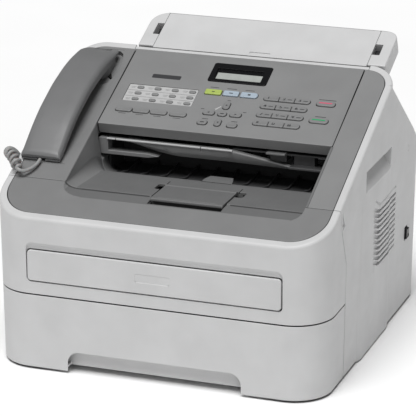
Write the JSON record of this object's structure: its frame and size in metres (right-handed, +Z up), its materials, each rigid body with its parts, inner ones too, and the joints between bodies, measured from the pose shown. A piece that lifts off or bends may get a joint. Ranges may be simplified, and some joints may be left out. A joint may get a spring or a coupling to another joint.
{
  "type": "laser fax machine",
  "caption": "Compact desktop laser fax machine with a corded handset, sloping key panel, document feeder, front cover, manual feed slot and pull-out paper tray.",
  "frame": {"origin": "on the supporting surface, under the middle of the casing", "axes": "+X to the machine's right, +Y to its back, +Z up"},
  "size_m": [0.3878, 0.3608, 0.3154],
  "materials": {
    "light_plastic": "fine satin moulded grain",
    "grey_plastic": "fine satin moulded grain",
    "handset_plastic": "fine satin moulded grain",
    "dark_plastic": "satin moulded",
    "key_plastic": "smooth satin",
    "green_key": "translucent satin",
    "blue_key": "translucent satin",
    "roller_rubber": "ground rubber",
    "display_glass": "polished",
    "tray_steel": "brushed sheet",
    "cord_plastic": "smooth extruded"
  },
  "bodies": {
    "main_body": {"right_cover": "light_plastic", "left_cover": "light_plastic", "rear_housing": "light_plastic", "document_tray": "light_plastic", "document_chute": "light_plastic", "output_chute": "grey_plastic", "handset_cradle": "grey_plastic", "power_inlet": "dark_plastic", "base_frame": "dark_plastic", "engine_frame": "dark_plastic", "laser_unit": "dark_plastic", "toner_cartridge": "dark_plastic", "fuser_unit": "dark_plastic", "handset_jack": "dark_plastic", "cord_coil": "cord_plastic", "cord_tail_handset": "cord_plastic", "cord_tail_jack": "cord_plastic"},
    "back_cover": {"back_cover": "light_plastic"},
    "pickup_roller": {"pickup_roller": "roller_rubber"},
    "exit_roller": {"exit_roller": "roller_rubber"},
    "front_cover": {"front_cover": "light_plastic", "front_top_panel": "grey_plastic"},
    "manual_slot_cover": {"manual_slot_cover": "light_plastic"},
    "support_flap": {"support_flap": "grey_plastic"},
    "paper_tray": {"paper_tray": "light_plastic"},
    "tray_guide_left": {"tray_guide_left": "grey_plastic"},
    "tray_guide_right": {"tray_guide_right": "grey_plastic"},
    "lift_plate": {"lift_plate": "tray_steel"},
    "handset": {"handset_shell": "handset_plastic"},
    "hook_switch": {"hook_switch": "dark_plastic"},
    "document_support": {"document_support": "light_plastic"},
    "document_guide_left": {"document_guide_left": "grey_plastic"},
    "document_guide_right": {"document_guide_right": "grey_plastic"},
    "document_roller": {"document_roller": "roller_rubber"},
    "control_panel": {"panel_shell": "grey_plastic", "display_window": "display_glass"},
    "power_switch": {"power_switch": "dark_plastic"},
    "dial_key_1": {"dial_key_1": "key_plastic"},
    "dial_key_2": {"dial_key_2": "key_plastic"},
    "dial_key_3": {"dial_key_3": "key_plastic"},
    "dial_key_4": {"dial_key_4": "key_plastic"},
    "dial_key_5": {"dial_key_5": "key_plastic"},
    "dial_key_6": {"dial_key_6": "key_plastic"},
    "dial_key_7": {"dial_key_7": "key_plastic"},
    "dial_key_8": {"dial_key_8": "key_plastic"},
    "dial_key_9": {"dial_key_9": "key_plastic"},
    "dial_key_star": {"dial_key_star": "key_plastic"},
    "dial_key_0": {"dial_key_0": "key_plastic"},
    "dial_key_hash": {"dial_key_hash": "key_plastic"},
    "stop_key": {"stop_key": "key_plastic"},
    "start_key": {"start_key": "key_plastic"},
    "fax_key": {"fax_key": "green_key"},
    "scan_key": {"scan_key": "blue_key"},
    "copy_key": {"copy_key": "blue_key"},
    "ok_key": {"ok_key": "key_plastic"},
    "menu_key": {"menu_key": "key_plastic"},
    "clear_key": {"clear_key": "key_plastic"},
    "arrow_keys": {"arrow_keys": "key_plastic"},
    "function_keys": {"function_keys": "key_plastic"},
    "one_touch_keys": {"one_touch_keys": "key_plastic"}
  },
  "joints": [
    {"name": "front_cover_hinge", "type": "hinge", "parent": "main_body", "child": "front_cover", "pos_m": [0, -0.178, 0.0876], "axis": [1, 0, 0], "range_deg": [0, 80]},
    {"name": "slot_cover_hinge", "type": "hinge", "parent": "front_cover", "child": "manual_slot_cover", "pos_m": [0, -0.1787, 0.1012], "axis": [-1, 0, 0], "range_deg": [-85, 0]},
    {"name": "paper_tray_slide", "type": "slide", "parent": "main_body", "child": "paper_tray", "axis": [0, -1, 0], "range_m": [0, 0.25]},
    {"name": "tray_guide_slide", "type": "slide", "parent": "paper_tray", "child": "tray_guide_left", "axis": [1, 0, 0], "range_m": [0, 0.03]},
    {"name": "tray_guide_follow", "type": "slide", "parent": "paper_tray", "child": "tray_guide_right", "axis": [-1, 0, 0], "range_m": [0, 0.03]},
    {"name": "lift_plate_hinge", "type": "hinge", "parent": "paper_tray", "child": "lift_plate", "pos_m": [0, -0.022, 0.0118], "axis": [-1, 0, 0], "range_deg": [0, 12]},
    {"name": "control_panel_hinge", "type": "hinge", "parent": "main_body", "child": "control_panel", "pos_m": [0, 0.0832, 0.2867], "axis": [-1, 0, 0], "range_deg": [0, 45]},
    {"name": "document_support_hinge", "type": "hinge", "parent": "main_body", "child": "document_support", "pos_m": [0, 0.14588, 0.31477], "axis": [-1, 0, 0], "range_deg": [0, 165]},
    {"name": "document_guide_slide", "type": "slide", "parent": "main_body", "child": "document_guide_left", "axis": [1, 0, 0], "range_m": [0, 0.034]},
    {"name": "document_guide_follow", "type": "slide", "parent": "main_body", "child": "document_guide_right", "axis": [-1, 0, 0], "range_m": [0, 0.034]},
    {"name": "support_flap_hinge", "type": "hinge", "parent": "main_body", "child": "support_flap", "pos_m": [0, -0.087, 0.188], "axis": [-1, 0, 0], "range_deg": [0, 60]},
    {"name": "back_cover_hinge", "type": "hinge", "parent": "main_body", "child": "back_cover", "pos_m": [0, 0.1785, 0.061], "axis": [-1, 0, 0], "range_deg": [0, 80]},
    {"name": "handset_lift", "type": "slide", "parent": "main_body", "child": "handset", "axis": [0, -0.4083, 0.9128], "range_m": [0, 0.08]},
    {"name": "hook_switch_press", "type": "slide", "parent": "main_body", "child": "hook_switch", "axis": [0, 0.4083, -0.9128], "range_m": [0, 0.0018], "stiffness_N_per_m": 150},
    {"name": "power_switch_rock", "type": "hinge", "parent": "main_body", "child": "power_switch", "pos_m": [0.181, 0.1385, 0.087], "axis": [0, 1, 0], "range_deg": [0, 12]},
    {"name": "document_roller_spin", "type": "hinge", "parent": "main_body", "child": "document_roller", "pos_m": [0, 0.0942, 0.261], "axis": [1, 0, 0], "continuous": true},
    {"name": "pickup_roller_spin", "type": "hinge", "parent": "main_body", "child": "pickup_roller", "pos_m": [0, -0.07, 0.097], "axis": [1, 0, 0], "continuous": true},
    {"name": "exit_roller_spin", "type": "hinge", "parent": "main_body", "child": "exit_roller", "pos_m": [0, 0.011, 0.205], "axis": [1, 0, 0], "continuous": true},
    {"name": "dial_key_1_press", "type": "slide", "parent": "control_panel", "child": "dial_key_1", "axis": [0, 0.4083, -0.9128], "range_m": [0, 0.0012], "stiffness_N_per_m": 500},
    {"name": "dial_key_2_press", "type": "slide", "parent": "control_panel", "child": "dial_key_2", "axis": [0, 0.4083, -0.9128], "range_m": [0, 0.0012], "stiffness_N_per_m": 500},
    {"name": "dial_key_3_press", "type": "slide", "parent": "control_panel", "child": "dial_key_3", "axis": [0, 0.4083, -0.9128], "range_m": [0, 0.0012], "stiffness_N_per_m": 500},
    {"name": "dial_key_4_press", "type": "slide", "parent": "control_panel", "child": "dial_key_4", "axis": [0, 0.4083, -0.9128], "range_m": [0, 0.0012], "stiffness_N_per_m": 500},
    {"name": "dial_key_5_press", "type": "slide", "parent": "control_panel", "child": "dial_key_5", "axis": [0, 0.4083, -0.9128], "range_m": [0, 0.0012], "stiffness_N_per_m": 500},
    {"name": "dial_key_6_press", "type": "slide", "parent": "control_panel", "child": "dial_key_6", "axis": [0, 0.4083, -0.9128], "range_m": [0, 0.0012], "stiffness_N_per_m": 500},
    {"name": "dial_key_7_press", "type": "slide", "parent": "control_panel", "child": "dial_key_7", "axis": [0, 0.4083, -0.9128], "range_m": [0, 0.0012], "stiffness_N_per_m": 500},
    {"name": "dial_key_8_press", "type": "slide", "parent": "control_panel", "child": "dial_key_8", "axis": [0, 0.4083, -0.9128], "range_m": [0, 0.0012], "stiffness_N_per_m": 500},
    {"name": "dial_key_9_press", "type": "slide", "parent": "control_panel", "child": "dial_key_9", "axis": [0, 0.4083, -0.9128], "range_m": [0, 0.0012], "stiffness_N_per_m": 500},
    {"name": "dial_key_star_press", "type": "slide", "parent": "control_panel", "child": "dial_key_star", "axis": [0, 0.4083, -0.9128], "range_m": [0, 0.0012], "stiffness_N_per_m": 500},
    {"name": "dial_key_0_press", "type": "slide", "parent": "control_panel", "child": "dial_key_0", "axis": [0, 0.4083, -0.9128], "range_m": [0, 0.0012], "stiffness_N_per_m": 500},
    {"name": "dial_key_hash_press", "type": "slide", "parent": "control_panel", "child": "dial_key_hash", "axis": [0, 0.4083, -0.9128], "range_m": [0, 0.0012], "stiffness_N_per_m": 500},
    {"name": "stop_key_press", "type": "slide", "parent": "control_panel", "child": "stop_key", "axis": [0, 0.4083, -0.9128], "range_m": [0, 0.0012], "stiffness_N_per_m": 500},
    {"name": "start_key_press", "type": "slide", "parent": "control_panel", "child": "start_key", "axis": [0, 0.4083, -0.9128], "range_m": [0, 0.0012], "stiffness_N_per_m": 500},
    {"name": "fax_key_press", "type": "slide", "parent": "control_panel", "child": "fax_key", "axis": [0, 0.4083, -0.9128], "range_m": [0, 0.0012], "stiffness_N_per_m": 500},
    {"name": "scan_key_press", "type": "slide", "parent": "control_panel", "child": "scan_key", "axis": [0, 0.4083, -0.9128], "range_m": [0, 0.0012], "stiffness_N_per_m": 500},
    {"name": "copy_key_press", "type": "slide", "parent": "control_panel", "child": "copy_key", "axis": [0, 0.4083, -0.9128], "range_m": [0, 0.0012], "stiffness_N_per_m": 500},
    {"name": "ok_key_press", "type": "slide", "parent": "control_panel", "child": "ok_key", "axis": [0, 0.4083, -0.9128], "range_m": [0, 0.0012], "stiffness_N_per_m": 500},
    {"name": "menu_key_press", "type": "slide", "parent": "control_panel", "child": "menu_key", "axis": [0, 0.4083, -0.9128], "range_m": [0, 0.0012], "stiffness_N_per_m": 500},
    {"name": "clear_key_press", "type": "slide", "parent": "control_panel", "child": "clear_key", "axis": [0, 0.4083, -0.9128], "range_m": [0, 0.0012], "stiffness_N_per_m": 500},
    {"name": "arrow_keys_press", "type": "slide", "parent": "control_panel", "child": "arrow_keys", "axis": [0, 0.4083, -0.9128], "range_m": [0, 0.0012], "stiffness_N_per_m": 500},
    {"name": "function_keys_press", "type": "slide", "parent": "control_panel", "child": "function_keys", "axis": [0, 0.4083, -0.9128], "range_m": [0, 0.0012], "stiffness_N_per_m": 500},
    {"name": "one_touch_keys_press", "type": "slide", "parent": "control_panel", "child": "one_touch_keys", "axis": [0, 0.4083, -0.9128], "range_m": [0, 0.0012], "stiffness_N_per_m": 500}
  ],
  "couplings": [
    {"joint": "tray_guide_follow", "follows": "tray_guide_slide", "ratio": 1},
    {"joint": "document_guide_follow", "follows": "document_guide_slide", "ratio": 1}
  ]
}
